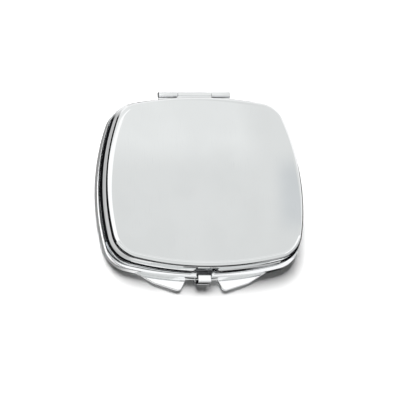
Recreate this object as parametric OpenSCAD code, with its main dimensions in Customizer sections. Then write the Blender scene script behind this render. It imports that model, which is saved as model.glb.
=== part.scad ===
// Pocket mirror: a shallow bowed case of two plated shells on a rear hinge,
// each with a mirror set in an inner frame, closed by a push-button catch.
// Lengths are millimetres. X runs along the hinge, Y towards the hinge, Z up.

/* [Case outline] */
// Width of the cover at its widest line
cover_w = 61; // [54:0.5:70]
// Cover edge in front of its widest line
cover_front = 21.1; // [19:0.1:24]
// Cover edge behind its widest line
cover_back = 30.8; // [28:0.1:34]
// Bow radius of the two sides
side_bow_r = 65; // [60:1:90]
// Bow radius of the front edge
front_bow_r = 97; // [85:1:140]
// Bow radius of the hinge edge
back_bow_r = 112; // [95:1:160]
// Corner radius at the front
front_corner_r = 8.5; // [7:0.1:11]
// Corner radius at the hinge side
back_corner_r = 8.3; // [7:0.1:11]

/* [Heights] */
// Height of the closed case
case_h = 12; // [11.6:0.1:14]
// Height of the hinge line and the middle of the parting gap
parting_h = 6; // [5.9:0.05:6.2]
// Gap between the two halves when closed
parting_gap = 0.3; // [0.2:0.05:0.5]
// Thickness of each frame's rim
rim_h = 1.1; // [1:0.05:1.3]
// Thickness of the frame under the rim
frame_under_h = 1.1; // [1:0.05:1.2]
// Floor of each mirror well
well_floor_t = 0.5; // [0.4:0.05:0.6]

/* [Shells] */
// Wall thickness of the pressed shells
wall_t = 0.7; // [0.5:0.05:0.8]
// Thickness of the cover plate and the bottom plate
plate_t = 0.8; // [0.6:0.05:0.9]
// Rounding of the cover's upper edge
cover_edge_r = 1.2; // [0.9:0.1:1.5]
// Rounding of the bottom edge
base_edge_r = 1; // [0.8:0.1:1.3]
// Draft of the cover wall from top to bottom
cover_draft = 0.25; // [0.1:0.05:0.4]
// How far the upper rim stands out from the cover
lid_rim_out = 0.87; // [0.7:0.01:1]
// How far the base stands out from the cover at the sides
base_side_out = 0.85; // [0.8:0.05:1.2]
// How far the base stands out from the cover in front
base_front_out = 1.9; // [1.7:0.1:2.2]
// How far the base stands out from the cover at the hinge
base_back_out = 0.8; // [0.75:0.05:0.95]
// Extra corner radius of the base at the hinge side
base_corner_more = 1.1; // [0:0.1:1.5]
// How far the lower rim stands out from the base wall
base_rim_out = 0.15; // [0.1:0.01:0.2]
// Rounding of the rims
rim_edge_r = 0.35; // [0.2:0.05:0.45]

/* [Mirrors] */
// Width of each mirror at its widest line
mirror_w = 52.4; // [46:0.2:53]
// Mirror edge in front of the widest line
mirror_front = 16.2; // [15:0.1:16.4]
// Mirror edge behind the widest line
mirror_back = 26.8; // [25:0.1:27]
// Corner radius of the mirrors
mirror_corner_r = 6; // [5:0.1:7]
// Glass thickness
glass_t = 1; // [0.9:0.05:1.1]
// Width of the ground bevel on the glass
glass_bevel = 0.5; // [0.3:0.1:0.8]
// Thickness of the adhesive foam behind the glass
pad_t = 0.3; // [0.2:0.05:0.4]
// Foam set back from the glass edge
pad_inset = 1.6; // [1:0.1:3]

/* [Hinge] */
// Hinge line behind the widest line of the case
hinge_back = 32.7; // [32.65:0.05:33.2]
// Outer radius of the knuckles
knuckle_r = 0.88; // [0.85:0.01:0.9]
// Hinge pin radius
pin_r = 0.43; // [0.38:0.01:0.46]
// Half length of the middle knuckle
mid_knuckle_half = 5.15; // [4.5:0.05:6]
// Half length of the whole hinge
hinge_half = 11.15; // [10:0.05:12]
// Gap between neighbouring knuckles
knuckle_gap = 0.2; // [0.1:0.05:0.3]
// Thickness of the hinge leaves
leaf_t = 0.5; // [0.4:0.05:0.55]
// Depth of the leaves into the case
leaf_in = 4.5; // [4.3:0.1:4.6]
// Rivet shank radius
rivet_r = 0.45; // [0.4:0.05:0.5]
// Rivet head radius
rivet_head_r = 0.8; // [0.7:0.05:0.85]
// Rivet head thickness
rivet_head_t = 0.25; // [0.2:0.05:0.3]

/* [Catch] */
// Half width of the recess in the cover's front wall
recess_half = 3.55; // [3:0.05:4]
// Half width of the button
button_half = 2; // [1.8:0.05:2.2]
// How far the button stands out from the base wall
button_out = 1.65; // [1.5:0.05:1.9]
// Height of the button
button_h = 3.2; // [2.8:0.1:3.2]
// Travel of the button
button_travel = 1.2; // [1:0.05:1.25]
// Thickness of the sliding catch plate
slide_t = 0.5; // [0.4:0.05:0.55]
// Half width of the sliding catch plate
slide_half = 3; // [2.8:0.05:3.1]
// Length of the catch plate behind its window
slide_tail = 3; // [2.8:0.05:3.1]
// Hook strip behind the cover's front edge
hook_in = 1.5; // [1.4:0.05:1.6]
// Thickness of the hook strip
hook_t = 0.4; // [0.3:0.05:0.45]
// Half width of the hook strip
hook_half = 1.5; // [1.2:0.05:1.6]
// How far the hook's barb reaches under the catch plate
hook_bite = 0.35; // [0.25:0.05:0.4]
// Wire radius of the return spring
wire_r = 0.12; // [0.1:0.01:0.13]
// Mean radius of the return spring
coil_r = 0.6; // [0.5:0.01:0.62]
// Length of the return spring
spring_len = 2.64; // [2.5:0.02:2.8]
// Number of turns of the return spring
coil_turns = 4; // [3:1:5]

/* [Thumb tabs] */
// How far the tabs stand out in front of the base
tab_out = 3.3; // [2.5:0.1:4]
// Thickness of the thumb plate
tab_t = 0.9; // [0.7:0.05:1]
// Height of the thumb plate's underside above the ground
tab_low = 1.2; // [1.1:0.05:1.25]
// Tip radius of the tabs
tab_tip_r = 1.55; // [1.2:0.05:1.8]
// Distance of each tip's centre from the middle
tab_tip_x = 7.5; // [7:0.1:8]
// Distance of each tab's inner edge from the middle
tab_inner_x = 5; // [4.8:0.1:5.3]
// Distance of the bend in each tab's front edge from the middle
tab_kink_x = 14.8; // [13:0.1:16]
// Distance of each tab's outer end from the middle
tab_end_x = 21.9; // [20:0.1:23]
// How far each tab's outer end lies behind the base's front edge
tab_end_in = 3; // [2.6:0.1:3.2]

/* [Hidden] */

// Shares of an arc at which the outline is cut, and steps of a rounded edge
side_steps = 6;
corner_steps = 9;
front_steps = 6;
edge_steps = 4;
round_fn = 48;
over = cover_w / 50;
fit_gap = cover_w / 600;
slip_gap = cover_w / 400;
pin_slip = cover_w / 2000;

tab_reach = cover_front + base_front_out + tab_out;
y_shift = (tab_reach - hinge_back - knuckle_r) / 2;

// Outline of one family: half width, back, front, side, back and front bows, corners
cover_form = [cover_w / 2, cover_back, cover_front, side_bow_r, back_bow_r, front_bow_r,
              back_corner_r, front_corner_r];
base_form = [cover_w / 2 + base_side_out, cover_back + base_back_out,
             cover_front + base_front_out, side_bow_r, back_bow_r, front_bow_r,
             back_corner_r + base_corner_more, front_corner_r];
mirror_form = [mirror_w / 2, mirror_back, mirror_front, side_bow_r, back_bow_r, front_bow_r,
               mirror_corner_r, mirror_corner_r];

// One quarter of an outline that has grown by g, from the side to the end's middle
function quarter(a, b, rs, re, rc, g) =
    let (x1 = a - rs, y2 = b - re, d = norm([x1, y2]), r1 = rs - rc, r2 = re - rc,
         m = (r1 * r1 - r2 * r2 + d * d) / (2 * d), h = sqrt(r1 * r1 - m * m),
         cx = x1 - m * x1 / d - h * y2 / d, cy = m * y2 / d - h * x1 / d,
         t1 = atan2(cy, cx - x1), t2 = atan2(cy - y2, cx))
    concat(
        [for (i = [0:side_steps - 1]) let (t = t1 * i / side_steps)
            [x1 + (rs + g) * cos(t), (rs + g) * sin(t)]],
        [for (i = [0:corner_steps - 1]) let (t = t1 + (t2 - t1) * i / corner_steps)
            [cx + (rc + g) * cos(t), cy + (rc + g) * sin(t)]],
        [for (i = [0:front_steps - 1]) let (t = t2 + (90 - t2) * i / front_steps)
            [(re + g) * cos(t), y2 + (re + g) * sin(t)]]);

function outline(f, g) =
    let (qb = quarter(f[0], f[1], f[3], f[4], f[6], g),
         qf = quarter(f[0], f[2], f[3], f[5], f[7], g), n = len(qb))
    concat(qb, [[0, f[1] + g]],
           [for (i = [n - 1:-1:0]) [-qb[i][0], qb[i][1]]],
           [for (i = [1:n - 1]) [-qf[i][0], -qf[i][1]]],
           [[0, -f[2] - g]],
           [for (i = [n - 1:-1:1]) [qf[i][0], -qf[i][1]]]);

// A closed skin over a list of rings, each a form, its growth and its height
module skin(rings) {
    pts = [for (r = rings) for (p = outline(r[0], r[1])) [p[0], p[1] + y_shift, r[2]]];
    n = 4 * (side_steps + corner_steps + front_steps);
    k = len(rings);
    polyhedron(points = pts, convexity = 4, faces = concat(
        [[for (i = [0:n - 1]) i]],
        [for (j = [0:k - 2]) for (i = [0:n - 1]) let (m = (i + 1) % n)
            [j * n + i, (j + 1) * n + i, (j + 1) * n + m]],
        [for (j = [0:k - 2]) for (i = [0:n - 1]) let (m = (i + 1) % n)
            [j * n + i, (j + 1) * n + m, j * n + m]],
        [[for (i = [n - 1:-1:0]) (k - 1) * n + i]]));
}

// Rings of a quarter-round edge: start growth and height, radius, turn and rise signs
function edge(f, g, z, r, rise) =
    [for (i = [0:edge_steps]) let (t = 90 * i / edge_steps)
        [f, g - r * (1 - sin(t)), z + rise * r * (1 - cos(t))]];
function edge_back(f, g, z, r, rise) =
    [for (i = [0:edge_steps]) let (t = 90 * i / edge_steps)
        [f, g - r * (1 - cos(t)), z + rise * r * sin(t)]];

// A block between two corners, and a plate with the outline of a form
module block(x0, x1, y0, y1, z0, z1) {
    translate([x0, y0 + y_shift, z0]) cube([x1 - x0, y1 - y0, z1 - z0]);
}
module slab(f, g, z0, z1) {
    translate([0, y_shift, z0]) linear_extrude(height = z1 - z0) polygon(outline(f, g));
}
// A side view drawn as Y and Z, extruded over a width about the middle
module side_view(pts, half_width) {
    translate([-half_width, y_shift, 0]) rotate([90, 0, 90])
        linear_extrude(height = 2 * half_width) polygon(pts);
}

// Levels of the lower half, from the bottom plate to the rim
base_top = parting_h - parting_gap / 2;
base_rim_z = base_top - rim_h;
base_under_z = base_rim_z - frame_under_h;
base_well_z = base_under_z + well_floor_t;
base_glass_z = base_well_z + pad_t;
// Levels of the upper half, from the rim to the cover plate
lid_low = parting_h + parting_gap / 2;
lid_rim_z = lid_low + rim_h;
lid_under_z = lid_rim_z + frame_under_h;
lid_well_z = lid_under_z - well_floor_t;
lid_glass_z = lid_well_z - pad_t;
rim_groove = wall_t / 7;
bezel = glass_bevel;

// Levels of the catch, from the guide up
slide_z = base_under_z - wall_t - slip_gap / 3;
button_z = base_top - slip_gap - button_h;
wall_front = cover_front + base_front_out;
wall_inside = wall_front - wall_t;
button_back = wall_inside;
hook_y = -(cover_front - hook_in);
hook_back_y = hook_y + hook_t;
hook_low_z = slide_z - slide_t - hook_t / 2;
window_back_y = hook_back_y + slip_gap / 1.5;
window_front_y = hook_y - button_travel - 2 * slip_gap;
window_half = hook_half + hook_t;
slide_back_y = window_back_y + slide_tail;
spring_front_y = slide_back_y + hook_t;
spring_back_y = spring_front_y + spring_len;
spring_z = slide_z + slide_t - coil_r - 2 * wire_r;
guide_half = slide_half + wall_t * 1.5;
guide_front_y = -wall_inside + hook_t + slip_gap;
guide_back_y = spring_back_y + 2 * wall_t;
guide_top = base_under_z - slip_gap / 3;
notch_half = button_half + hook_t;
notch_back_y = -button_back + button_travel + slip_gap;
slot_front_y = hook_y - 2 * hook_t;
slot_back_y = hook_back_y + hook_bite + hook_t;
leaf_front_y = hinge_back - leaf_in;
leaf_web_y = hinge_back - 1.3 * pin_r;
rivet_y = leaf_front_y + 1.25 * rivet_head_r;
base_rivet_share = 0.72;
lid_rivet_share = 0.6;
hook_rivet_y = -(mirror_front + 0.3 * (cover_front - mirror_front));
recess_top = case_h - cover_edge_r - rim_groove;
recess_plate_y = -(cover_front - wall_t - slip_gap);

module rivet(x, y, z0, z1) {
    translate([x, y + y_shift, z0]) {
        cylinder(r = rivet_head_r, h = rivet_head_t, $fn = round_fn);
        cylinder(r = rivet_r, h = z1 - z0, $fn = round_fn);
        translate([0, 0, z1 - z0 - rivet_head_t])
            cylinder(r = rivet_head_r, h = rivet_head_t, $fn = round_fn);
    }
}
module rivet_room(x, y, z0, z1) {
    translate([x, y + y_shift, z0 - over])
        cylinder(r = rivet_r, h = z1 - z0 + 2 * over, $fn = round_fn);
    translate([x, y + y_shift, z0 - over])
        cylinder(r = rivet_head_r, h = over + rivet_head_t, $fn = round_fn);
    translate([x, y + y_shift, z1 - rivet_head_t])
        cylinder(r = rivet_head_r, h = over + rivet_head_t, $fn = round_fn);
}
module barrel(x0, x1, r) {
    translate([x0, hinge_back + y_shift, parting_h]) rotate([0, 90, 0])
        cylinder(r = r, h = x1 - x0, $fn = round_fn);
}

// Half of the thumb plate's outline, on the side of positive X
tab_front = tab_reach - tab_tip_r;
tab_lean = 20.5;
tab_rise = 17.4;
tab_tip_out_x = tab_tip_x + tab_tip_r * sin(tab_rise);
tab_tip_out_y = -tab_front - tab_tip_r * cos(tab_rise);
tab_kink_y = tab_tip_out_y + (tab_kink_x - tab_tip_out_x) * tan(tab_rise);
sill_front = wall_front + 0.5 * button_out;
strip_back = wall_inside - slip_gap;
function half_tabs() = concat(
    [[button_half + slip_gap, -sill_front],
     [button_half + slip_gap, -wall_front - base_rim_out],
     [tab_inner_x, -wall_front - base_rim_out]],
    [for (i = [0:6]) let (t = 180 + tab_lean + (90 - tab_lean + tab_rise) * i / 6)
        [tab_tip_x + tab_tip_r * cos(t), -tab_front + tab_tip_r * sin(t)]],
    [[tab_kink_x, tab_kink_y],
     [tab_end_x, -(wall_front - tab_end_in)],
     [tab_end_x - 2 * wall_t, -(wall_front - tab_end_in - wall_t)],
     [guide_half + slip_gap, -(wall_inside - 2 * wall_t)],
     [guide_half + slip_gap, -strip_back]]);
module tabs_area() {
    h = half_tabs();
    n = len(h);
    polygon(concat(h, [for (i = [n - 1:-1:0]) [-h[i][0], h[i][1]]]));
}

module base_shell() {
    color("silver") difference() {
        skin(concat(edge(base_form, 0, 0, base_edge_r, 1),
            [[base_form, 0, base_rim_z], [base_form, -wall_t, base_rim_z],
             [base_form, -wall_t, plate_t + base_edge_r / 2],
             [base_form, -wall_t - base_edge_r / 2, plate_t]]));
        // Opening for the button and the slot that the thumb plate comes out of
        block(-button_half - slip_gap, button_half + slip_gap, -wall_front - over,
              -wall_inside + wall_t, button_z - slip_gap, base_rim_z + over);
        translate([0, y_shift, tab_low - pin_slip])
            linear_extrude(height = tab_t + 2 * pin_slip) tabs_area();
    }
}

module thumb_plate() {
    color("gainsboro") translate([0, y_shift, tab_low])
        linear_extrude(height = tab_t) tabs_area();
}

module base_frame() {
    color("whitesmoke") difference() {
        skin(concat(
            [[base_form, -wall_t - fit_gap, base_under_z], [base_form, -wall_t - fit_gap, base_rim_z]],
            edge(base_form, base_rim_out, base_rim_z, rim_edge_r / 2, 1),
            edge_back(base_form, base_rim_out, base_top - rim_edge_r, rim_edge_r, 1),
            [[mirror_form, fit_gap + bezel, base_top],
             [mirror_form, fit_gap, base_top - bezel / 2],
             [mirror_form, fit_gap, base_well_z]]));
        // Room for the button, the hook's slot and the hinge leaf
        block(-notch_half, notch_half, -wall_front - over, notch_back_y,
              base_under_z - over, base_top + over);
        block(-window_half, window_half, slot_front_y, slot_back_y,
              base_under_z - over, base_top + over);
        block(-hinge_half - pin_slip, hinge_half + pin_slip, leaf_front_y - pin_slip,
              hinge_back, base_top - leaf_t, base_top + over);
        for (i = [-1, 0, 1]) rivet_room(i * base_rivet_share * hinge_half, rivet_y,
                                        base_under_z, base_top);
    }
}

module base_mirror_pad() {
    color("dimgray") slab(mirror_form, -pad_inset, base_well_z, base_glass_z);
}
module base_mirror() {
    color("lightcyan") skin([[mirror_form, 0, base_glass_z],
        [mirror_form, 0, base_glass_z + glass_t - glass_bevel / 2],
        [mirror_form, -glass_bevel, base_glass_z + glass_t]]);
}

module base_hinge_leaf() {
    color("slategray") difference() {
        union() {
            for (s = [-1, 1]) barrel(s > 0 ? mid_knuckle_half + knuckle_gap : -hinge_half,
                s > 0 ? hinge_half : -mid_knuckle_half - knuckle_gap, knuckle_r);
            for (s = [-1, 1]) block(s > 0 ? mid_knuckle_half + knuckle_gap : -hinge_half,
                s > 0 ? hinge_half : -mid_knuckle_half - knuckle_gap,
                leaf_front_y, leaf_web_y, base_top - leaf_t, base_top);
            block(-mid_knuckle_half - knuckle_gap, mid_knuckle_half + knuckle_gap,
                  leaf_front_y, hinge_back - knuckle_r - 2 * slip_gap,
                  base_top - leaf_t, base_top);
        }
        barrel(-hinge_half - over, hinge_half + over, pin_r);
        for (i = [-1, 0, 1]) rivet_room(i * base_rivet_share * hinge_half, rivet_y,
                                        base_under_z, base_top);
    }
}
module base_hinge_rivets() {
    color("lightsteelblue") for (i = [-1, 0, 1])
        rivet(i * base_rivet_share * hinge_half, rivet_y, base_under_z, base_top);
}
module hinge_pin() {
    color("darkgray") barrel(-hinge_half, hinge_half, pin_r);
}

module catch_guide() {
    color("goldenrod") difference() {
        block(-guide_half, guide_half, guide_front_y, guide_back_y, plate_t, guide_top);
        // Room for the button, slideway, room for the hook, and the spring's pocket
        block(-button_half - slip_gap, button_half + slip_gap, guide_front_y - over,
              slot_front_y, button_z - slip_gap, guide_top + over);
        block(-slide_half - fit_gap, slide_half + fit_gap, guide_front_y - over, spring_back_y,
              slide_z - fit_gap, guide_top + over);
        block(-window_half, window_half, slot_front_y - hook_t, slot_back_y + button_travel / 2,
              plate_t + hook_t, guide_top + over);
        block(-coil_r - 3 * wire_r, coil_r + 3 * wire_r, slide_back_y - hook_t - slip_gap, spring_back_y,
              spring_z - coil_r - 2 * wire_r, guide_top + over);
    }
}

// A coil along Y from one end to the other, as a swept tube of eight sides
coil_cut = 14;
coil_sides = 8;
module button_spring() {
    n = coil_turns * coil_cut;
    y0 = spring_front_y + wire_r;
    y1 = spring_back_y - wire_r;
    pts = [for (i = [0:n]) let (t = 360 * i / coil_cut, y = y0 + (y1 - y0) * i / n)
        for (j = [0:coil_sides - 1]) let (a = 360 * j / coil_sides,
            r = coil_r + wire_r * cos(a))
            [r * cos(t), y + wire_r * sin(a) + y_shift, spring_z + r * sin(t)]];
    color("orange") polyhedron(points = pts, convexity = 8, faces = concat(
        [[for (j = [0:coil_sides - 1]) j]],
        [for (i = [0:n - 1]) for (j = [0:coil_sides - 1]) let (m = (j + 1) % coil_sides)
            [i * coil_sides + j, (i + 1) * coil_sides + j, (i + 1) * coil_sides + m]],
        [for (i = [0:n - 1]) for (j = [0:coil_sides - 1]) let (m = (j + 1) % coil_sides)
            [i * coil_sides + j, (i + 1) * coil_sides + m, i * coil_sides + m]],
        [[for (j = [coil_sides - 1:-1:0]) n * coil_sides + j]]));
}

module push_button() {
    c = button_h / 12;
    f = -wall_front - button_out;
    t = button_z + button_h;
    color("white") side_view([[f + c, button_z], [f, button_z + c], [f, t - 2 * c],
        [f + 2 * c, t], [-button_back, t], [-button_back, button_z]], button_half);
}
module catch_slide() {
    color("peru") difference() {
        union() {
            block(-slide_half, slide_half, -button_back + slip_gap, slide_back_y,
                  slide_z, slide_z + slide_t);
            block(-button_half, button_half, -button_back, -button_back + wall_t,
                  slide_z, slide_z + slide_t);
            block(-coil_r - wire_r, coil_r + wire_r, slide_back_y - hook_t, spring_front_y,
                  spring_z - coil_r - wire_r, slide_z + slide_t);
        }
        block(-window_half, window_half, window_front_y, window_back_y,
              slide_z - over, slide_z + slide_t + over);
    }
}

module lid_shell() {
    color("silver") difference() {
        skin(concat(
            [[cover_form, -wall_t - cover_edge_r / 2, case_h - plate_t],
             [cover_form, -wall_t, case_h - plate_t - cover_edge_r / 2],
             [cover_form, cover_draft - wall_t, lid_rim_z],
             [cover_form, cover_draft, lid_rim_z]],
            edge_back(cover_form, 0, case_h - cover_edge_r, cover_edge_r, 1)));
        // Recess in the front wall and the hook plate's seat behind it
        block(-recess_half, recess_half, -wall_front, -(cover_front - 2 * wall_t),
              lid_rim_z - over, recess_top);
    }
}

module lid_frame() {
    color("whitesmoke") difference() {
        skin(concat(
            [[mirror_form, fit_gap, lid_well_z], [mirror_form, fit_gap, lid_low + bezel / 2],
             [mirror_form, fit_gap + bezel, lid_low]],
            edge(cover_form, lid_rim_out, lid_low, rim_edge_r, 1),
            edge_back(cover_form, lid_rim_out, lid_rim_z - rim_edge_r / 2, rim_edge_r / 2, 1),
            [[cover_form, -wall_t - fit_gap, lid_rim_z],
             [cover_form, -wall_t - fit_gap, lid_under_z]]));
        // Seat and passage of the hook, and the hinge leaf's seat
        block(-recess_half, recess_half, -wall_front - over, recess_plate_y + hook_t + slip_gap,
              lid_low - over, lid_under_z + over);
        block(-window_half, window_half, -wall_front, hook_back_y + slip_gap,
              lid_low - over, lid_under_z + over);
        block(-mid_knuckle_half - pin_slip, mid_knuckle_half + pin_slip,
              leaf_front_y - pin_slip, hinge_back, lid_low - over, lid_low + leaf_t);
        for (s = [-1, 1]) {
            rivet_room(s * lid_rivet_share * mid_knuckle_half, rivet_y, lid_low, lid_under_z);
            rivet_room(s * hook_half, hook_rivet_y, lid_low, lid_under_z + hook_t + rivet_head_t);
        }
    }
}

module lid_mirror_pad() {
    color("dimgray") slab(mirror_form, -pad_inset, lid_glass_z, lid_well_z);
}
module lid_mirror() {
    color("lightcyan") skin([[mirror_form, -glass_bevel, lid_glass_z - glass_t],
        [mirror_form, 0, lid_glass_z - glass_t + glass_bevel / 2],
        [mirror_form, 0, lid_glass_z]]);
}

module lid_hinge_leaf() {
    color("steelblue") difference() {
        union() {
            barrel(-mid_knuckle_half, mid_knuckle_half, knuckle_r);
            block(-mid_knuckle_half, mid_knuckle_half, leaf_front_y, leaf_web_y,
                  lid_low, lid_low + leaf_t);
        }
        barrel(-hinge_half, hinge_half, pin_r + pin_slip);
        for (s = [-1, 1]) rivet_room(s * lid_rivet_share * mid_knuckle_half, rivet_y,
                                     lid_low, lid_under_z);
    }
}
module lid_hinge_rivets() {
    color("lightsteelblue") for (s = [-1, 1])
        rivet(s * lid_rivet_share * mid_knuckle_half, rivet_y, lid_low, lid_under_z);
}

// The hook: a plate behind the recess, a foot on the frame, and a barbed strip
module catch_hook() {
    foot_z = lid_under_z;
    jog_z = lid_rim_z + slip_gap;
    plate_top = recess_top - rim_groove;
    bar_z = lid_under_z + 1.95 * hook_t;
    color("lightgray") difference() {
        union() {
            block(-recess_half + fit_gap, recess_half - fit_gap, recess_plate_y,
                  recess_plate_y + hook_t, jog_z, plate_top);
            block(-recess_half + fit_gap, recess_half - fit_gap, recess_plate_y,
                  hook_rivet_y + 2 * rivet_head_r, foot_z, foot_z + hook_t);
            side_view([[recess_plate_y, jog_z], [hook_y, jog_z], [hook_y, hook_low_z],
                [hook_back_y, hook_low_z - hook_t], [hook_back_y + hook_bite, hook_low_z],
                [hook_back_y + hook_bite, slide_z - slip_gap],
                [hook_back_y, slide_z - slip_gap], [hook_back_y, jog_z + hook_t],
                [recess_plate_y, jog_z + hook_t]], hook_half);
        }
        block(-button_half, button_half, recess_plate_y - over, recess_plate_y + hook_t + over,
              bar_z, bar_z + 0.35 * (plate_top - bar_z));
        for (s = [-1, 1]) translate([s * hook_half, hook_rivet_y + y_shift, foot_z - over])
            cylinder(r = rivet_r, h = hook_t + 2 * over, $fn = round_fn);
    }
}
module hook_rivets() {
    color("lightsteelblue") for (s = [-1, 1])
        rivet(s * hook_half, hook_rivet_y, lid_low, lid_under_z + hook_t + rivet_head_t);
}

base_shell();
thumb_plate();
base_frame();
base_mirror_pad();
base_mirror();
base_hinge_leaf();
base_hinge_rivets();
hinge_pin();
catch_guide();
button_spring();
push_button();
catch_slide();
lid_shell();
lid_frame();
lid_mirror_pad();
lid_mirror();
lid_hinge_leaf();
lid_hinge_rivets();
catch_hook();
hook_rivets();
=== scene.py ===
"""Pocket mirror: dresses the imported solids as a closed, polished metal case."""

import math
from collections import namedtuple

import bmesh
import bpy
from mathutils import Matrix, Vector


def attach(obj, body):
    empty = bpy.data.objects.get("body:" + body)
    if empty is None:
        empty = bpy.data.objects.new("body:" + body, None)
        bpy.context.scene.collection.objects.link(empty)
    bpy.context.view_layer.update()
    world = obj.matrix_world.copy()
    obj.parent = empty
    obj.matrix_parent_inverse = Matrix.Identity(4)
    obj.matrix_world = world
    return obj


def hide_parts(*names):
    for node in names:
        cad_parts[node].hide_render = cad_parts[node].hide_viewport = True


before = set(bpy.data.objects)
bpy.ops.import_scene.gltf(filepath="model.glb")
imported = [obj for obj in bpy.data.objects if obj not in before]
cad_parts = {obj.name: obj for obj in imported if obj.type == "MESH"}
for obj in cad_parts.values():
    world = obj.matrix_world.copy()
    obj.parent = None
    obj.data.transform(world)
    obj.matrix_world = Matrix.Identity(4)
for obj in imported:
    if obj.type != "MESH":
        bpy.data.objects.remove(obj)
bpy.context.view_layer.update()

MM = 0.001
AHEAD = -3.64  # the widest line of the case lies this far in front of the middle

# Outline families in mm: the half width, the reach to the hinge side and to the front, the
# radii of the bowed side, back and front, and the corner radii at the back and in front
Form = namedtuple("Form", "half back front side_bow back_bow front_bow back_corner front_corner")
COVER = Form(30.5, 30.8, 21.1, 65, 112, 97, 8.3, 8.5)
BASE = Form(31.35, 31.6, 23.0, 65, 112, 97, 9.4, 8.5)
GLASS = Form(26.2, 26.8, 16.2, 65, 112, 97, 6, 6)
ARC_STEPS = (12, 18, 12)  # of the side, the corner and the end

# Levels above the ground and lengths in mm
PARTING, COVER_TOP = 6.0, 12.0
RECESS_HALF = 3.55  # the opening in the cover's front wall
TAB_LOW, TAB_HIGH, TAB_PLAY = 1.2, 2.1, 0.03
HINGE_BACK = 32.7  # the hinge line, from the widest line of the case
KNUCKLE, BORE, PIN = 0.878, 0.45, 0.43  # radii of the hinge
LEAF_HALF, MIDDLE_HALF, LEAF_FRONT = 11.15, 5.15, 28.2

ONE_POINT = 0.002 * MM  # points nearer than this are joined
NEAR_BY = 0.01 * MM


# ---------------------------------------------------------------- bench work
def clear():
    """Nothing selected, object mode."""
    if bpy.context.object and bpy.context.object.mode != "OBJECT":
        bpy.ops.object.mode_set(mode="OBJECT")
    bpy.ops.object.select_all(action="DESELECT")


def hold(piece):
    """One piece selected and active."""
    clear()
    piece.select_set(True)
    bpy.context.view_layer.objects.active = piece


def into_edit(piece, kind="EDGE"):
    hold(piece)
    bpy.ops.object.mode_set(mode="EDIT")
    bpy.ops.mesh.select_mode(type=kind)
    bpy.ops.mesh.select_all(action="DESELECT")


def pick(what, test):
    """Selects the edges, faces or points of the edited mesh that pass a test."""
    data = bpy.context.object.data
    mesh = bmesh.from_edit_mesh(data)
    for part in getattr(mesh, what):
        if test(part):
            part.select_set(True)
    mesh.select_flush_mode()
    bmesh.update_edit_mesh(data)


def settle(piece):
    """Place, turn and size go into the mesh."""
    hold(piece)
    bpy.ops.object.transform_apply(location=True, rotation=True, scale=True)


def apply_modifiers(piece):
    hold(piece)
    for modifier in list(piece.modifiers):
        bpy.ops.object.modifier_apply(modifier=modifier.name)


def join(*pieces):
    """Several meshes become the first one."""
    clear()
    for piece in pieces:
        piece.select_set(True)
    bpy.context.view_layer.objects.active = pieces[0]
    bpy.ops.object.join()
    return pieces[0]


def one_point(name, place):
    """A new mesh of one point, left in edit mode to be drawn on from there."""
    clear()
    bpy.ops.mesh.primitive_plane_add(size=MM, location=place)
    piece = bpy.context.object
    piece.name = piece.data.name = name
    settle(piece)
    into_edit(piece, "VERT")
    bpy.ops.mesh.select_all(action="SELECT")
    bpy.ops.mesh.merge(type="CENTER")
    return piece


def draw_on(here, there):
    """Draws an edge from the selected point, by a difference in metres."""
    bpy.ops.mesh.extrude_vertices_move(TRANSFORM_OT_translate={
        "value": (there[0] - here[0], there[1] - here[1], 0)})


def mirror_half():
    """The edited half gets its twin across the middle and is joined to it."""
    bpy.ops.mesh.select_all(action="SELECT")
    bpy.ops.mesh.duplicate()
    bpy.ops.transform.resize(value=(-1, 1, 1), center_override=(0, 0, 0))
    bpy.ops.mesh.select_all(action="SELECT")
    bpy.ops.mesh.remove_doubles(threshold=ONE_POINT)


def quarter_arcs(form, back):
    """Centre, radius and sweep of the three arcs between a side and an end."""
    reach = form.back if back else form.front
    end_r = form.back_bow if back else form.front_bow
    corner_r = form.back_corner if back else form.front_corner
    side_x, end_y = form.half - form.side_bow, reach - end_r
    apart = math.hypot(side_x, end_y)
    near, far = form.side_bow - corner_r, end_r - corner_r
    along = (near * near - far * far + apart * apart) / (2 * apart)
    off = math.sqrt(near * near - along * along)
    cx = side_x - along * side_x / apart - off * end_y / apart
    cy = along * end_y / apart - off * side_x / apart
    first = math.atan2(cy, cx - side_x)
    second = math.atan2(cy - end_y, cx)
    sign = 1 if back else -1
    return (((side_x, 0), form.side_bow, first), ((cx, sign * cy), corner_r, second - first),
            ((0, sign * end_y), end_r, math.pi / 2 - second))


def ring(form, growth, height, number):
    """One closed outline: a point swept round a side, a corner and an end, then mirrored."""
    start = ((form.half + growth) * MM, AHEAD * MM, height * MM)
    loop = one_point("ring", start)
    for back in (True, False):
        bpy.ops.mesh.select_all(action="DESELECT")
        pick("verts", lambda v: (v.co - Vector(start)).length < NEAR_BY)
        for (centre, _, sweep), steps in zip(quarter_arcs(form, back), ARC_STEPS):
            bpy.ops.mesh.spin(steps=steps, angle=-sweep if back else sweep, axis=(0, 0, 1),
                              center=(centre[0] * MM, (centre[1] + AHEAD) * MM, height * MM))
    mirror_half()
    bpy.ops.object.mode_set(mode="OBJECT")
    mark = loop.data.attributes.new("ring", "INT", "POINT")
    mark.data.foreach_set("value", [number] * len(loop.data.vertices))
    return loop


def on_ring(number):
    """The test for the edges of one outline."""
    mesh = bmesh.from_edit_mesh(bpy.context.object.data)
    layer = mesh.verts.layers.int["ring"]
    return lambda edge: all(v[layer] == number for v in edge.verts)


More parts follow.
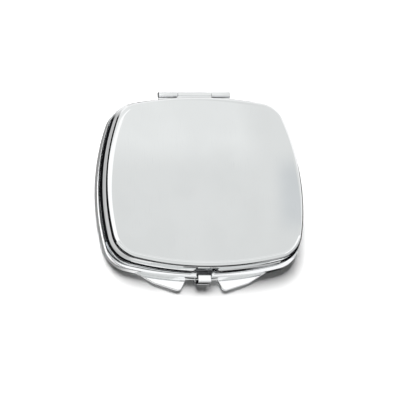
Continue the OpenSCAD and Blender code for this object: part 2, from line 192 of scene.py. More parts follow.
def turned_skin(name, profile):
    """A closed skin over outlines. A profile line: form, growth, height and, where the edge
    is rounded, the rounding and its steps."""
    piece = join(*(ring(*line[:3], n) for n, line in enumerate(profile, 1)))
    piece.name = piece.data.name = name
    into_edit(piece)
    for n in range(1, len(profile)):
        bpy.ops.mesh.select_all(action="DESELECT")
        pick("edges", on_ring(n))
        pick("edges", on_ring(n + 1))
        bpy.ops.mesh.bridge_edge_loops()
    for n in (1, len(profile)):
        bpy.ops.mesh.select_all(action="DESELECT")
        pick("edges", on_ring(n))
        bpy.ops.mesh.edge_face_add()
    bpy.ops.mesh.select_all(action="SELECT")
    bpy.ops.mesh.normals_make_consistent(inside=False)
    for n, (_, _, _, *rounded) in enumerate(profile, 1):
        if rounded:
            bpy.ops.mesh.select_all(action="DESELECT")
            pick("edges", on_ring(n))
            bpy.ops.mesh.bevel(offset=rounded[0] * MM, segments=rounded[1], profile=0.5,
                               affect="EDGES")
    bpy.ops.object.mode_set(mode="OBJECT")
    return piece


def block(name, x0, x1, y0, y1, z0, z1):
    """A box between two corners, in mm from the widest line of the case."""
    clear()
    bpy.ops.mesh.primitive_cube_add(size=1, location=(
        (x0 + x1) / 2 * MM, ((y0 + y1) / 2 + AHEAD) * MM, (z0 + z1) / 2 * MM))
    piece = bpy.context.object
    piece.name = piece.data.name = name
    piece.scale = ((x1 - x0) * MM, (y1 - y0) * MM, (z1 - z0) * MM)
    settle(piece)
    return piece


def edge_bevel(piece, width, steps, angle):
    """A live bevel, in mm, on the edges that are sharper than the angle."""
    bevel = piece.modifiers.new("eased edges", "BEVEL")
    bevel.width = width * MM
    bevel.segments = steps
    bevel.limit_method = "ANGLE"
    bevel.angle_limit = math.radians(angle)


def ease(piece, width, steps=2):
    """Breaks the sharp edges."""
    edge_bevel(piece, width, steps, 35)
    apply_modifiers(piece)


def even_shading(piece, angle=40):
    """Smooth shading up to an angle, with the flats kept flat."""
    hold(piece)
    bpy.ops.object.shade_smooth_by_angle(angle=math.radians(angle))
    weighted = piece.modifiers.new("flats stay flat", "WEIGHTED_NORMAL")
    weighted.mode = "FACE_AREA"
    weighted.weight = 100
    weighted.keep_sharp = True
    apply_modifiers(piece)


def work(piece, operation, others):
    """Works other pieces into a piece, one after the other, and throws them away."""
    for other in others:
        hold(piece)
        step = piece.modifiers.new("worked", "BOOLEAN")
        step.operation = operation
        step.solver = "EXACT"
        step.object = other
        bpy.ops.object.modifier_apply(modifier=step.name)
        bpy.data.objects.remove(other)


def cut(piece, *tools):
    work(piece, "DIFFERENCE", tools)


def weld(piece, *others):
    work(piece, "UNION", others)


def fit(piece, body, finish, node):
    """Finish, body and slot of a piece, and the solid it stands for."""
    piece.data.materials.clear()
    piece.data.materials.append(finish)
    if "ring" in piece.data.attributes:
        piece.data.attributes.remove(piece.data.attributes["ring"])
    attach(piece, body)
    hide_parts(node)


# ------------------------------------------------------------------ finishes
def feed(tree, socket, value):
    """Gives a socket a number, a colour or the output of another node."""
    if isinstance(value, (int, float)):
        socket.default_value = value
    elif isinstance(value, tuple):
        socket.default_value = (*value, 1)
    else:
        tree.links.new(value, socket)


def value_noise(tree, vector, scale, detail, rough=0.55):
    """Soft noise with a mean of about a half."""
    noise = tree.nodes.new("ShaderNodeTexNoise")
    noise.inputs["Scale"].default_value = scale
    noise.inputs["Detail"].default_value = detail
    noise.inputs["Roughness"].default_value = rough
    tree.links.new(vector, noise.inputs["Vector"])
    return noise.outputs["Fac"]


def stretched(tree, vector, scale, turn=0.0):
    """Coordinates turned about Z and stretched."""
    mapping = tree.nodes.new("ShaderNodeMapping")
    mapping.inputs["Rotation"].default_value = (0, 0, turn)
    mapping.inputs["Scale"].default_value = scale
    tree.links.new(vector, mapping.inputs["Vector"])
    return mapping.outputs["Vector"]


def step_up(tree, value, low, high, to_low=0.0, to_high=1.0):
    """A smooth step from one value to another."""
    ranged = tree.nodes.new("ShaderNodeMapRange")
    ranged.interpolation_type = "SMOOTHSTEP"
    for name, number in (("From Min", low), ("From Max", high),
                         ("To Min", to_low), ("To Max", to_high)):
        ranged.inputs[name].default_value = number
    tree.links.new(value, ranged.inputs["Value"])
    return ranged.outputs["Result"]


def sums(tree, kind, a, b):
    """One sum with two terms, each a number or an output."""
    node = tree.nodes.new("ShaderNodeMath")
    node.operation = kind
    feed(tree, node.inputs[0], a)
    feed(tree, node.inputs[1], b)
    return node.outputs[0]


def blend_colour(tree, mask, first, second):
    """From the first colour to the second by a mask."""
    mix = tree.nodes.new("ShaderNodeMix")
    mix.data_type = "RGBA"
    tree.links.new(mask, mix.inputs["Factor"])
    feed(tree, mix.inputs["A"], first)
    feed(tree, mix.inputs["B"], second)
    return mix.outputs["Result"]


def effect(name, ins, outs):
    """An empty shader group with named inputs and outputs, and its first and last node."""
    tree = bpy.data.node_groups.new(name, "ShaderNodeTree")
    for label, kind in ins:
        tree.interface.new_socket(label, in_out="INPUT", socket_type=kind)
    for label, kind in outs:
        tree.interface.new_socket(label, in_out="OUTPUT", socket_type=kind)
    return tree, tree.nodes.new("NodeGroupInput"), tree.nodes.new("NodeGroupOutput")


NUMBER, ARROW, COLOUR = "NodeSocketFloat", "NodeSocketVector", "NodeSocketColor"


def make_hairlines():
    """Fine scratches in two directions, as a mask."""
    tree, start, end = effect("fine scratches", [("Vector", ARROW), ("Amount", NUMBER)],
                              [("Mask", NUMBER)])
    lines = []
    for turn, low in ((0.5, 0.62), (-0.9, 0.64), (1.35, 0.65)):
        flow = stretched(tree, start.outputs["Vector"], (9000, 160, 160), turn)
        fine = value_noise(tree, flow, 1.0, 2.0)
        turned = stretched(tree, start.outputs["Vector"], (1, 1, 1), turn)
        patches = value_noise(tree, turned, 95 + 20 * turn, 1.0)
        lines.append(sums(tree, "MULTIPLY", step_up(tree, fine, low, low + 0.1),
                          step_up(tree, patches, 0.45, 0.62)))
    together = sums(tree, "MAXIMUM", sums(tree, "MAXIMUM", lines[0], lines[1]), lines[2])
    tree.links.new(sums(tree, "MULTIPLY", together, start.outputs["Amount"]),
                   end.inputs["Mask"])
    return tree


def make_handling():
    """Cloudy marks that fingers leave on plating, as a mask."""
    tree, start, end = effect("handling marks", [("Vector", ARROW), ("Amount", NUMBER)],
                              [("Mask", NUMBER)])
    broad = step_up(tree, value_noise(tree, start.outputs["Vector"], 85, 4.0), 0.48, 0.72)
    small = step_up(tree, value_noise(tree, start.outputs["Vector"], 420, 5.0), 0.4, 0.75)
    small = sums(tree, "ADD", sums(tree, "MULTIPLY", small, 0.7), 0.3)
    marks = sums(tree, "MULTIPLY", broad, small)
    tree.links.new(sums(tree, "MULTIPLY", marks, start.outputs["Amount"]), end.inputs["Mask"])
    return tree


def make_grain():
    """Lines of a brushed or drawn surface along X, as a mask."""
    tree, start, end = effect("drawn lines", [("Vector", ARROW), ("Turn", NUMBER)],
                              [("Mask", NUMBER)])
    turned = tree.nodes.new("ShaderNodeVectorRotate")
    turned.rotation_type = "Z_AXIS"
    tree.links.new(start.outputs["Vector"], turned.inputs["Vector"])
    tree.links.new(start.outputs["Turn"], turned.inputs["Angle"])
    flow = stretched(tree, turned.outputs["Vector"], (260, 7000, 7000))
    tree.links.new(value_noise(tree, flow, 1.0, 3.0, 0.6), end.inputs["Mask"])
    return tree


HAIRLINES, HANDLING, GRAIN = make_hairlines(), make_handling(), make_grain()


def use_effect(tree, group, vector, **values):
    """The mask of one of the shared effects."""
    node = tree.nodes.new("ShaderNodeGroup")
    node.node_tree = group
    tree.links.new(vector, node.inputs["Vector"])
    for label, number in values.items():
        node.inputs[label].default_value = number
    return node.outputs["Mask"]


def blank_material(name):
    material = bpy.data.materials.new(name)
    material.use_nodes = True
    material.node_tree.nodes.clear()
    return material, material.node_tree


def show(tree, surface, kind="ShaderNodeOutputMaterial"):
    """Sends a shader to the output of its tree."""
    out = tree.nodes.new(kind)
    tree.links.new(surface, out.inputs["Surface"])


def new_finish(name, metallic):
    """A material with its node tree, its shader and the place on the piece in metres."""
    finish, tree = blank_material(name)
    shader = tree.nodes.new("ShaderNodeBsdfPrincipled")
    shader.inputs["Metallic"].default_value = metallic
    show(tree, shader.outputs["BSDF"])
    place = tree.nodes.new("ShaderNodeTexCoord").outputs["Object"]
    return finish, tree, shader, place


def bump(tree, shader, height, strength, distance):
    """Fine relief in the surface normal."""
    node = tree.nodes.new("ShaderNodeBump")
    node.inputs["Strength"].default_value = strength
    node.inputs["Distance"].default_value = distance
    tree.links.new(height, node.inputs["Height"])
    tree.links.new(node.outputs["Normal"], shader.inputs["Normal"])


def polished_plate(name, bright, dull, smooth, worn):
    """Polished plating: near-mirror, with faint tarnish, handling marks and hairlines."""
    finish, tree, shader, place = new_finish(name, 1.0)
    scratch = use_effect(tree, HAIRLINES, place, Amount=1.0)
    handled = use_effect(tree, HANDLING, place, Amount=1.0)
    tarnish = step_up(tree, value_noise(tree, place, 60, 2.0), 0.35, 0.7)
    tone = blend_colour(tree, tarnish, bright, dull)
    tree.links.new(blend_colour(tree, sums(tree, "MULTIPLY", scratch, 0.25), tone,
                                tuple(0.8 * c for c in dull)), shader.inputs["Base Color"])
    wear = sums(tree, "ADD", sums(tree, "MULTIPLY", handled, 0.6),
                sums(tree, "MULTIPLY", scratch, 0.8))
    tree.links.new(step_up(tree, wear, 0.0, 1.4, smooth, worn), shader.inputs["Roughness"])
    waves = sums(tree, "MULTIPLY", value_noise(tree, place, 260, 1.0), 0.25)
    relief = sums(tree, "SUBTRACT", waves, sums(tree, "MULTIPLY", scratch, 0.5))
    bump(tree, shader, relief, 0.05, 0.01 * MM)
    return finish


def drawn_metal(name, light, dark, low, high, turn=0.0):
    """Uncoated steel with drawn lines."""
    finish, tree, shader, place = new_finish(name, 1.0)
    lines = use_effect(tree, GRAIN, place, Turn=turn)
    scratch = use_effect(tree, HAIRLINES, place, Amount=0.8)
    tone = blend_colour(tree, step_up(tree, lines, 0.3, 0.7), light, dark)
    cloud = step_up(tree, value_noise(tree, place, 180, 3.0), 0.4, 0.7)
    tree.links.new(blend_colour(tree, sums(tree, "MULTIPLY", cloud, 0.4), tone, dark),
                   shader.inputs["Base Color"])
    tree.links.new(step_up(tree, sums(tree, "ADD", lines, sums(tree, "MULTIPLY", scratch, 0.3)),
                           0.3, 0.9, low, high), shader.inputs["Roughness"])
    bump(tree, shader, lines, 0.25, 0.01 * MM)
    return finish


def silvered_glass():
    """Silver behind clear glass: the silver is the metal, the glass its coat."""
    finish, tree, shader, place = new_finish("silvered glass", 1.0)
    shader.inputs["Coat Weight"].default_value = 0.6
    shader.inputs["Coat IOR"].default_value = 1.52
    handled = use_effect(tree, HANDLING, place, Amount=0.6)
    cloud = step_up(tree, value_noise(tree, place, 70, 2.0), 0.3, 0.75)
    tree.links.new(blend_colour(tree, cloud, (0.9, 0.925, 0.92), (0.87, 0.9, 0.895)),
                   shader.inputs["Base Color"])
    tree.links.new(step_up(tree, handled, 0.0, 1.0, 0.008, 0.05), shader.inputs["Roughness"])
    bump(tree, shader, value_noise(tree, place, 90, 1.0), 0.02, 0.01 * MM)
    return finish


def foam_finish():
    """Dark foam tape with open pores."""
    finish, tree, shader, place = new_finish("foam tape", 0.0)
    pores = tree.nodes.new("ShaderNodeTexVoronoi")
    pores.inputs["Scale"].default_value = 3800
    tree.links.new(place, pores.inputs["Vector"])
    depth = step_up(tree, pores.outputs["Distance"], 0.1, 0.55)
    tree.links.new(blend_colour(tree, depth, (0.028, 0.028, 0.03), (0.06, 0.06, 0.062)),
                   shader.inputs["Base Color"])
    tree.links.new(step_up(tree, value_noise(tree, place, 500, 3.0), 0.3, 0.7, 0.8, 0.95),
                   shader.inputs["Roughness"])
    bump(tree, shader, depth, 0.5, 0.05 * MM)
    return finish


CASE = polished_plate("polished case plating", (0.87, 0.88, 0.885), (0.84, 0.85, 0.855),
                      0.02, 0.06)
FRAME = polished_plate("polished frame plating", (0.85, 0.86, 0.87), (0.81, 0.82, 0.83),
                       0.025, 0.08)
HINGE = polished_plate("hinge plating", (0.93, 0.935, 0.94), (0.88, 0.885, 0.89),
                       0.06, 0.2)
STEEL = drawn_metal("bright steel", (0.62, 0.63, 0.64), (0.5, 0.51, 0.52), 0.18, 0.36)
DARK_STEEL = drawn_metal("oiled dark steel", (0.17, 0.172, 0.178), (0.1, 0.1, 0.106),
                         0.2, 0.38)
WIRE = drawn_metal("spring wire", (0.55, 0.55, 0.57), (0.42, 0.42, 0.45), 0.22, 0.4, 1.57)
MIRROR = silvered_glass()
FOAM = foam_finish()


# -------------------------------------------------------------------- pieces
def lid_pieces():
    """The cover's shell, its frame and the upper mirror."""
    shell = turned_skin("cover_shell", [
        (COVER, -0.7, 11.2),
        (COVER, -0.45, 7.28),
        (COVER, 0.45, 7.25),
        (COVER, 0.71, 7.16),
        (COVER, 0.3, 7.86, 0.05, 3),
        (COVER, 0, COVER_TOP, 1.5, 14)])
    cut(shell, block("recess tool", -RECESS_HALF, RECESS_HALF, -23.0, -19.7, PARTING, 9.6))
    ease(shell, 0.06)
    even_shading(shell, 22)
    fit(shell, "lid", CASE, "lid_shell")

    rim = turned_skin("cover_frame", [
        (GLASS, 0.1, 7.85),
        (GLASS, 0.1, 6.42),
        (GLASS, 0.6, 6.15),
        (COVER, -0.3, 6.17),
        (COVER, -0.28, 6.44),
        (COVER, 0.5, 6.46),
        (COVER, 0.87, 6.84, 0.04, 2),
        (COVER, 0.67, 7.24),
        (COVER, -0.8, 7.25),
        (COVER, -0.8, 8.35)])
    cut(rim, block("recess tool", -RECESS_HALF, RECESS_HALF, -23.2, -19.695, PARTING, 8.5),
        block("hook passage tool", -1.9, 1.9, -23.2, -19.05, PARTING, 8.6),
        block("leaf seat tool", -5.2, 5.2, 28.15, 33.2, PARTING, 6.65))
    ease(rim, 0.05)
    even_shading(rim, 22)
    fit(rim, "lid", FRAME, "lid_frame")

    glass = turned_skin("cover_mirror", [
        (GLASS, 0, 7.55), (GLASS, 0, 6.8), (GLASS, -0.5, 6.55)])
    even_shading(glass, 12)
    fit(glass, "lid", MIRROR, "lid_mirror")


def tabs(name, low, high, grown=0):
    """The plate with the two thumb tabs: one half traced point by point, then mirrored."""
    tip, tip_r = (7.5, -24.75), 1.545
    first, last = (math.radians(turn) for turn in (200.5, 287.4))  # the tip's rounding
    enter, leave = ((tip[0] + tip_r * math.cos(turn), tip[1] + tip_r * math.sin(turn))
                    for turn in (first, last))
    path = [(0, -23.825), (2.15, -23.825), (2.15, -23.15), (5.0, -23.15), enter]
    after = [leave, (14.8, -24.09), (21.9, -20.0), (20.5, -19.3), (4.2, -20.9),
             (4.2, -22.15), (0, -22.15)]
    path, after = ([(x * MM, y * MM) for x, y in points] for points in (path, after))
    piece = one_point(name, (path[0][0], path[0][1] + AHEAD * MM, low * MM))
    for here, there in zip(path, path[1:]):
        draw_on(here, there)
    bpy.ops.mesh.spin(steps=16, angle=-(last - first), axis=(0, 0, 1),
                      center=(tip[0] * MM, (tip[1] + AHEAD) * MM, low * MM))
    for here, there in zip(after, after[1:]):
        draw_on(here, there)
    mirror_half()
    bpy.ops.mesh.select_mode(type="EDGE")
    bpy.ops.mesh.select_all(action="SELECT")
    bpy.ops.mesh.edge_face_add()
    bpy.ops.mesh.extrude_region_move(TRANSFORM_OT_translate={
        "value": (0, 0, (high - low) * MM)})
    bpy.ops.mesh.select_all(action="SELECT")
    bpy.ops.mesh.normals_make_consistent(inside=False)
    if grown:
        bpy.ops.transform.shrink_fatten(value=grown * MM)
    bpy.ops.object.mode_set(mode="OBJECT")
    return piece


def base_pieces():
    """The base's shell, its frame, the lower mirror and the thumb tabs."""
    shell = turned_skin("base_shell_pressed", [
        (BASE, -1.2, 0.8),
        (BASE, -0.7, 1.3),
        (BASE, -0.7, 4.73),
        (BASE, 0, 4.75),
        (BASE, 0, 0, 1.0, 10)])
    cut(shell, block("button opening tool", -2.15, 2.15, -24.2, -21.6, 2.35, PARTING),
        tabs("tab slot tool", TAB_LOW - TAB_PLAY, TAB_HIGH + TAB_PLAY, TAB_PLAY))
    ease(shell, 0.05)
    even_shading(shell, 22)
    fit(shell, "base", CASE, "base_shell")

    rim = turned_skin("base_frame_pressed", [
        (BASE, -0.8, 3.65),
        (BASE, -0.8, 4.75),
        (BASE, 0.15, 4.77, 0.1, 3),
        (BASE, 0.15, 5.22, 0.06, 3),
        (BASE, -0.95, 5.24),
        (BASE, -0.97, 5.82),
        (BASE, -1.8, 5.84),
        (GLASS, 0.6, 5.86),
        (GLASS, 0.1, 5.58),
        (GLASS, 0.1, 4.15)])
    cut(rim, block("button room tool", -2.4, 2.4, -24.4, -20.95, 3.5, PARTING),
        block("hook slot tool", -1.9, 1.9, -20.4, -18.45, 3.5, PARTING),
        block("leaf seat tool", -11.2, 11.2, 28.15, 33.2, 5.35, PARTING))
    ease(rim, 0.05)
    even_shading(rim, 22)
    fit(rim, "base", FRAME, "base_frame")

    glass = turned_skin("base_mirror_glass", [
        (GLASS, 0, 4.45), (GLASS, 0, 5.2), (GLASS, -0.5, 5.45)])
    even_shading(glass, 12)
    fit(glass, "base", MIRROR, "base_mirror")

    plate = tabs("thumb_tabs", TAB_LOW, TAB_HIGH)
    ease(plate, 0.22, 4)
    even_shading(plate)
    fit(plate, "base", CASE, "thumb_plate")


def button_pieces():
    """The push button, with a rounder edge above its face."""
    button = block("press_button", -2, 2, -24.65, -22.3, 2.5, 5.7)
    into_edit(button, "EDGE")
    pick("edges", lambda e: all(v.co.y < (-24.6 + AHEAD) * MM for v in e.verts)
         and all(v.co.z > 5.6 * MM for v in e.verts))
    bpy.ops.mesh.bevel(offset=0.5 * MM, segments=6, affect="EDGES")
    bpy.ops.object.mode_set(mode="OBJECT")
    ease(button, 0.18, 4)
    even_shading(button)
    fit(button, "button", CASE, "push_button")


def barrel(name, x0, x1, radius, sides=64):
    """A round bar on the hinge line."""
    clear()
    bpy.ops.mesh.primitive_cylinder_add(
        vertices=sides, radius=radius * MM, depth=(x1 - x0) * MM,
        location=((x0 + x1) / 2 * MM, (HINGE_BACK + AHEAD) * MM, PARTING * MM),
        rotation=(0, math.pi / 2, 0))
    piece = bpy.context.object
    piece.name = piece.data.name = name
    settle(piece)
    return piece


def hinge_pieces():
    """Two leaves with their knuckles, and the pin."""
    lower = block("lower_hinge_leaf", -LEAF_HALF, LEAF_HALF, LEAF_FRONT, 31.51, 5.35, 5.85)
    for near, far in ((-LEAF_HALF, -5.35), (5.35, LEAF_HALF)):
        weld(lower, block("web", near, far, 31.2, 32.3, 5.35, 5.85),
             barrel("outer knuckle", near, far, KNUCKLE))
    cut(lower, barrel("bore tool", -11.5, 11.5, BORE))
    ease(lower, 0.07, 3)
    even_shading(lower)
    fit(lower, "base", HINGE, "base_hinge_leaf")

    upper = block("upper_hinge_leaf", -MIDDLE_HALF, MIDDLE_HALF, LEAF_FRONT, 32.3, 6.15, 6.65)
    weld(upper, barrel("middle knuckle", -MIDDLE_HALF, MIDDLE_HALF, KNUCKLE))
    cut(upper, barrel("bore tool", -5.5, 5.5, BORE + 0.01))
    ease(upper, 0.07, 3)
    even_shading(upper)
    fit(upper, "lid", HINGE, "lid_hinge_leaf")

    pin = barrel("pin", -LEAF_HALF, LEAF_HALF, PIN, 48)
    ease(pin, 0.15, 4)
    even_shading(pin)
    fit(pin, "base", STEEL, "hinge_pin")


def rivet(name, places, low, high):
    """Flat-headed rivets: one is turned from a disc, the others are its copies."""
    x, y = places[0]
    clear()
    bpy.ops.mesh.primitive_cylinder_add(
        vertices=40, radius=0.79 * MM, depth=(high - low) * MM,
        location=(x * MM, (y + AHEAD) * MM, (low + high) / 2 * MM))
    piece = bpy.context.object
    piece.name = piece.data.name = name
    settle(piece)
    into_edit(piece, "FACE")
    for level in (low, high):
        bpy.ops.mesh.select_all(action="DESELECT")
        pick("faces", lambda f: abs(f.calc_center_median().z - level * MM) < NEAR_BY)
        bpy.ops.mesh.inset(thickness=0.12 * MM, depth=0)
        bpy.ops.mesh.inset(thickness=0.3 * MM, depth=0.001 * MM)
    bpy.ops.object.mode_set(mode="OBJECT")
    ease(piece, 0.09, 3)
    even_shading(piece)
    copies = []
    for other_x, other_y in places[1:]:
        hold(piece)
        bpy.ops.object.duplicate()
        twin = bpy.context.object
        twin.location = ((other_x - x) * MM, (other_y - y) * MM, 0)
        settle(twin)
        copies.append(twin)
    return join(piece, *copies)


def rivet_pieces():
    """The rivets of both leaves and of the hook's foot."""
    fit(rivet("lower_leaf_rivets", [(x, 29.2) for x in (-8.028, 0, 8.028)], 3.65, 5.86),
        "base", STEEL, "base_hinge_rivets")
    fit(rivet("upper_leaf_rivets", [(x, 29.2) for x in (-3.09, 3.09)], 6.14, 8.35),
        "lid", STEEL, "lid_hinge_rivets")
    fit(rivet("hook_foot_rivets", [(x, -17.67) for x in (-1.5, 1.5)], 6.14, 9.0),
        "lid", STEEL, "hook_rivets")


def keep_solid(node, finish, width):
    """A solid whose shape is right: its own finish and eased edges."""
    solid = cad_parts[node]
    solid.data.materials.clear()
    solid.data.materials.append(finish)
    if width:
        joined = solid.modifiers.new("joined corners", "WELD")
        joined.merge_threshold = ONE_POINT
        edge_bevel(solid, width, 2, 40)


lid_pieces()
base_pieces()
button_pieces()
hinge_pieces()
rivet_pieces()
for node, finish, width in (("base_mirror_pad", FOAM, 0.04), ("lid_mirror_pad", FOAM, 0.04),
                            ("catch_guide", DARK_STEEL, 0.06),
                            ("catch_slide", DARK_STEEL, 0.06),
                            ("catch_hook", STEEL, 0.06), ("button_spring", WIRE, 0)):
    keep_solid(node, finish, width)


# --------------------------------------------------------------------- stage
# Ways from the middle of the case, and the tones of the cards
DARK_SIDE = (-0.8, -0.6, 0)
RIGHT_SIDE = (0.978, -0.208, 0)
RIGHT_CORNER = (0.85, -0.45, 0.28)
TO_CAMERA = Vector((-0.27791, -0.21033, 0.93730))
BLACK, DARK_GREY = (0.006, 0.006, 0.007), (0.12, 0.12, 0.125)
WHITE, CARD_WHITE = (1.0, 1.0, 1.0), (1.1, 1.1, 1.1)


def mix_shaders(tree, mask, first, second):
    """The first shader where the mask is 0, the second where it is 1."""
    mix = tree.nodes.new("ShaderNodeMixShader")
    for socket, output in zip(mix.inputs, (mask, first, second)):
        tree.links.new(output, socket)
    return mix.outputs[0]


def seen_in_metal_only(card, tones):
    """A card that only reflections show: no shadow, no light, and nothing for the camera.
    Its tones are a colour or a function that gives one."""
    finish, tree = blank_material(card.name)
    rays = tree.nodes.new("ShaderNodeLightPath")
    see_through = tree.nodes.new("ShaderNodeBsdfTransparent")
    tone = tree.nodes.new("ShaderNodeEmission")
    feed(tree, tone.inputs["Color"], tones(tree) if callable(tones) else tones)
    show(tree, mix_shaders(tree, rays.outputs["Is Glossy Ray"], see_through.outputs[0],
                           tone.outputs[0]))
    card.data.materials.append(finish)


def on_the_card(tree):
    """Place on a card in metres, and its X and Y."""
    place = tree.nodes.new("ShaderNodeTexCoord").outputs["Object"]
    parts = tree.nodes.new("ShaderNodeSeparateXYZ")
    tree.links.new(place, parts.inputs[0])
    return place, parts.outputs["X"], parts.outputs["Y"]


def facing(tree, look, way):
    """How well a direction agrees with a way: 1 is the same, 0 is square to it."""
    product = tree.nodes.new("ShaderNodeVectorMath")
    product.operation = "DOT_PRODUCT"
    product.inputs[1].default_value = way
    tree.links.new(look, product.inputs[0])
    return product.outputs["Value"]


def far_tone(tree):
    """Black on the dark side, dark grey at the right, grey in front, white elsewhere."""
    place, _, y = on_the_card(tree)
    level = tree.nodes.new("ShaderNodeVectorMath")
    level.operation = "NORMALIZE"
    tree.links.new(place, level.inputs[0])
    look = level.outputs[0]
    behind = step_up(tree, y, -34 * MM, -14 * MM)
    pale = blend_colour(tree, behind, (0.42, 0.425, 0.43), CARD_WHITE)
    right = step_up(tree, facing(tree, look, RIGHT_SIDE), 0.86, 0.93)
    pale = blend_colour(tree, right, pale, (0.25, 0.252, 0.255))
    dark = step_up(tree, facing(tree, look, DARK_SIDE), 0.0, 0.2)
    return blend_colour(tree, dark, pale, BLACK)


def along_x(*stops):
    """A grey that changes along X: each stop is a place in mm and a tone."""
    def tones(tree):
        _, x, _ = on_the_card(tree)
        colour = (stops[0][1],) * 3
        for (here, _), (there, grey) in zip(stops, stops[1:]):
            reached = step_up(tree, x, here * MM, there * MM)
            colour = blend_colour(tree, reached, colour, (grey,) * 3)
        return colour
    return tones


def table_card(name, inner, outer, tones):
    """A flat card on the table that follows the case between two distances from it."""
    card = join(ring(BASE, inner, 0.1, 1), ring(BASE, outer, 0.12, 2))
    card.name = name
    into_edit(card)
    bpy.ops.mesh.select_all(action="SELECT")
    bpy.ops.mesh.bridge_edge_loops()
    bpy.ops.object.mode_set(mode="OBJECT")
    seen_in_metal_only(card, tones)


def seen_from_foot(turn, height):
    """Where the cover's sloping foot, at a height in mm, mirrors the table to the camera.
    Turn: 0 is left, 90 front, 180 right."""
    tilt, outward = math.radians(59.7), math.radians(turn if turn <= 90 else 180 - turn)
    passed = 0
    for centre, radius, sweep in quarter_arcs(COVER, False):
        passed += sweep
        if outward < passed:
            break
    sign = -1 if turn <= 90 else 1
    level = Vector((sign * math.cos(outward), -math.sin(outward), 0))
    place = Vector((sign * (centre[0] + radius * math.cos(outward)),
                    centre[1] - radius * math.sin(outward) + AHEAD, 0)) + 0.5 * level
    normal = level * math.sin(tilt) + Vector((0, 0, math.cos(tilt)))
    ray = 2 * normal.dot(TO_CAMERA) * normal - TO_CAMERA
    there = place + ray * (height / -ray.z)
    return there.x * MM, there.y * MM


def traced_card(name, height, corners, tones):
    """A level card traced from corner to corner, in metres."""
    card = one_point(name, (*corners[0], height))
    for here, there in zip(corners, corners[1:]):
        draw_on(here, there)
    bpy.ops.mesh.select_all(action="SELECT")
    bpy.ops.mesh.edge_face_add()
    bpy.ops.object.mode_set(mode="OBJECT")
    seen_in_metal_only(card, tones)


# Small cards on the table: name, height and corners in mm, tone
SMALL_CARDS = (
    ("card behind the hinge", 0.14, ((-20, 33), (20, 33), (24, 40), (-24, 40)), DARK_GREY),
    ("card beside the hinge", 0.16,
     ((-16.5, 28.5), (-11.4, 28.5), (-11.4, 33), (-16.5, 33)), BLACK),
    ("card at the right", 0.16, ((30, -8), (60, -8), (60, -36), (29, -36)), BLACK),
    # The black cards by the button, before the button and beside the right tab paint the shade
    # at the foot of the case, round the button and the right tab, into the metal's reflections.
    ("card by the button", 0.18,
     ((-6.2, -26.3), (-1.2, -26.3), (-1.2, -31), (-6.2, -30)), BLACK),
    ("card before the button", 0.17,
     ((-1.1, -28.94), (3.4, -28.94), (3.4, -30.1), (-1.1, -30.1)), BLACK),
    ("card beside the right tab", 0.19,
     ((3.5, -27.1), (6, -27.1), (6, -29.5), (3.5, -29.5)), BLACK))


def cards():
    """Cards on the table round the case that only the metal shows, each at its own height."""
    # The contact card paints the table's contact shadow into the metal's reflections: grey at
    # the left, white in front where the table is lit, black at the right.
    table_card("contact card", 0.05, 1.0,
               along_x((-27, 0.34), (-19, 1.1), (15, 1.1), (20, 0.02)))
    # The grey card paints the softer shade of the table near the case into the reflections: grey
    # at the left, pale in front, black at the right.
    table_card("grey card", 1.5, 3.6,
               along_x((-27, 0.55), (-19, 0.9), (14, 0.9), (19, 0.02)))
    table_card("near card", 3.6, 7.6, along_x((-27, 0.66), (-19, 1.1), (4, 1.1), (14, 0.65),
                                             (20, 0.5), (24, 0.03)))
    table_card("far cards", 7.6, 500, far_tone)
    turns = range(28, 110, 5)
    traced_card("card before the foot", 0.2 * MM,
                [seen_from_foot(turn, 6.8) for turn in turns]
                + [seen_from_foot(turn, 8.0) for turn in reversed(turns)],
                along_x((-70, 0.62), (-40, 0.8), (-25, 1.1), (4, 1.1), (20, 0.6)))
    for name, height, corners, tone in SMALL_CARDS:
        traced_card(name, height * MM, [(x * MM, y * MM) for x, y in corners], tone)


OVERHEAD = 0.15  # height of the diffusers; the cover's middle mirrors the place FACE_X, FACE_Y
RISE = (OVERHEAD - COVER_TOP * MM) / TO_CAMERA.z
FACE_X, FACE_Y = -TO_CAMERA.x * RISE, -TO_CAMERA.y * RISE + AHEAD * MM


def face_tone(tree):
    """What the flat cover mirrors: pale at the back, grey, darker at the right."""
    _, x, y = on_the_card(tree)
    rising = step_up(tree, y, FACE_Y + 0.007, FACE_Y + 0.019)
    left = step_up(tree, x, FACE_X + 0.01, FACE_X + 0.022, 1.0, 0.1)
    back = sums(tree, "MULTIPLY", rising, left)
    above = step_up(tree, y, FACE_Y - 0.014, FACE_Y - 0.004)
    below = step_up(tree, y, FACE_Y + 0.006, FACE_Y + 0.016, 1.0, 0.0)
    side = step_up(tree, x, FACE_X + 0.0205, FACE_X + 0.0275)
    edge = sums(tree, "MULTIPLY", side, sums(tree, "MULTIPLY", above, below))
    plain = blend_colour(tree, back, (0.81, 0.822, 0.817), (0.905, 0.918, 0.912))
    return blend_colour(tree, edge, plain, (0.7, 0.723, 0.735))


def overhead():
    """Grey diffusers that the flat cover and its front edge mirror to the camera. Their
    corners are in metres from the mirrored place."""
    for name, corners in (
            ("diffuser over the cover",
             ((-0.056, -0.0203), (-0.056, 0.0), (-0.034, 0.009), (-0.0296, 0.0135),
              (-0.0272, 0.019), (-0.0243, 0.0262), (-0.14, 0.3), (0.4, 0.3), (0.4, -0.0203))),
            ("diffuser in front",
             ((-0.171, -0.079), (-0.0564, -0.0285), (0.06, -0.0285), (0.07, -0.079))),
            ("lower diffuser in front",
             ((-0.67, -0.3), (-0.203, -0.093), (0.07, -0.093), (0.1, -0.3)))):
        traced_card(name, OVERHEAD, [(FACE_X + x, FACE_Y + y) for x, y in corners], face_tone)


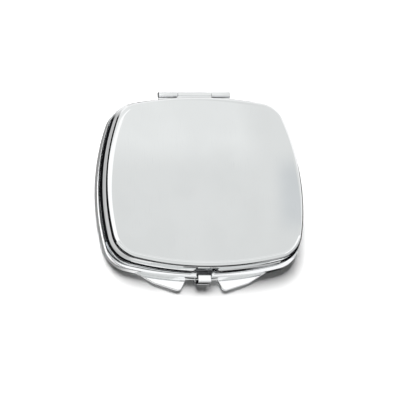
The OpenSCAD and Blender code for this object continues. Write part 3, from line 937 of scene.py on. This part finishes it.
def table():
    """The pale matt table that keeps the shadow."""
    clear()
    bpy.ops.mesh.primitive_plane_add(size=6, location=(0, 0, -0.02 * MM))
    floor = bpy.context.object
    floor.name = "floor"
    finish, tree = blank_material("white table")
    matt = tree.nodes.new("ShaderNodeBsdfDiffuse")
    matt.inputs["Color"].default_value = (0.93, 0.93, 0.93, 1)
    show(tree, matt.outputs[0])
    floor.data.materials.append(finish)


def light_of(tree, tone, strength):
    """A background light whose tone is a colour or an output."""
    light = tree.nodes.new("ShaderNodeBackground")
    feed(tree, light.inputs["Color"], tone)
    light.inputs["Strength"].default_value = strength
    return light.outputs[0]


def room():
    """What surrounds the table: walls for the metal, little fill, white for the camera."""
    world = bpy.data.worlds.new("white room")
    bpy.context.scene.world = world
    world.use_nodes = True
    tree = world.node_tree
    tree.nodes.clear()
    rays = tree.nodes.new("ShaderNodeLightPath")
    look = tree.nodes.new("ShaderNodeTexCoord").outputs["Generated"]
    parts = tree.nodes.new("ShaderNodeSeparateXYZ")
    tree.links.new(look, parts.inputs[0])
    y, z = parts.outputs["Y"], parts.outputs["Z"]

    walls = blend_colour(tree, step_up(tree, y, -0.58, -0.44), (0.69, 0.7, 0.695), WHITE)
    walls = blend_colour(tree, step_up(tree, y, 0.42, 0.56), walls, (0.78, 0.79, 0.785))
    grey_screen = step_up(tree, facing(tree, look, RIGHT_CORNER), 0.86, 0.94)
    walls = blend_colour(tree, grey_screen, walls, (0.6, 0.61, 0.61))
    towards = facing(tree, look, DARK_SIDE)
    dark_top = sums(tree, "MAXIMUM", step_up(tree, towards, 0.38, 0.92, -0.06, 0.5),
                    step_up(tree, towards, 0.0, 0.3, -0.06, 0.01))
    above_dark = step_up(tree, sums(tree, "SUBTRACT", z, dark_top), 0, 0.04)
    mirrored = light_of(tree, blend_colour(tree, above_dark, BLACK, walls), 1.18)

    lit = mix_shaders(tree, rays.outputs["Is Glossy Ray"], light_of(tree, WHITE, 0.02), mirrored)
    show(tree, mix_shaders(tree, rays.outputs["Is Camera Ray"], lit, light_of(tree, WHITE, 1.0)),
         "ShaderNodeOutputWorld")


def window():
    """One soft window high behind the case, which the metal doesn't show."""
    lamp = bpy.data.lights.new("window", "AREA")
    lamp.shape = "DISK"
    lamp.size = 0.38
    lamp.energy = 8.2
    light = bpy.data.objects.new("window", lamp)
    bpy.context.scene.collection.objects.link(light)
    light.location = (-0.11, 0.28, 0.62)
    light.rotation_mode = "QUATERNION"
    light.rotation_quaternion = (-light.location).to_track_quat("-Z", "Y")
    light.visible_glossy = False


AWAY = 4.753  # camera to case, in metres
PIXELS_PER_MM, PICTURE = 3.348, 400  # of the photograph, at the case


def photographer():
    """The camera of the photograph: far away, with a long lens, a little to the left."""
    right = Vector((0.96061, -0.05955, 0.27146))
    up = Vector((-0.00128, 0.97581, 0.21860))
    middle = Vector((0, AHEAD * MM, COVER_TOP * MM))  # of the cover
    aim = middle - right * 1.762 * MM - up * 0.866 * MM
    data = bpy.data.cameras.new("camera")
    data.sensor_width = 36
    data.lens = PIXELS_PER_MM * data.sensor_width * AWAY / MM / PICTURE
    data.clip_start, data.clip_end = 0.5, 50
    camera = bpy.data.objects.new("camera", data)
    bpy.context.scene.collection.objects.link(camera)
    camera.location = aim + TO_CAMERA * AWAY
    camera.rotation_mode = "QUATERNION"
    camera.rotation_quaternion = Matrix((right, up, TO_CAMERA)).transposed().to_quaternion()
    bpy.context.scene.camera = camera


table()
room()
cards()
overhead()
window()
photographer()
bpy.context.scene.view_settings.view_transform = "Standard"
clear()
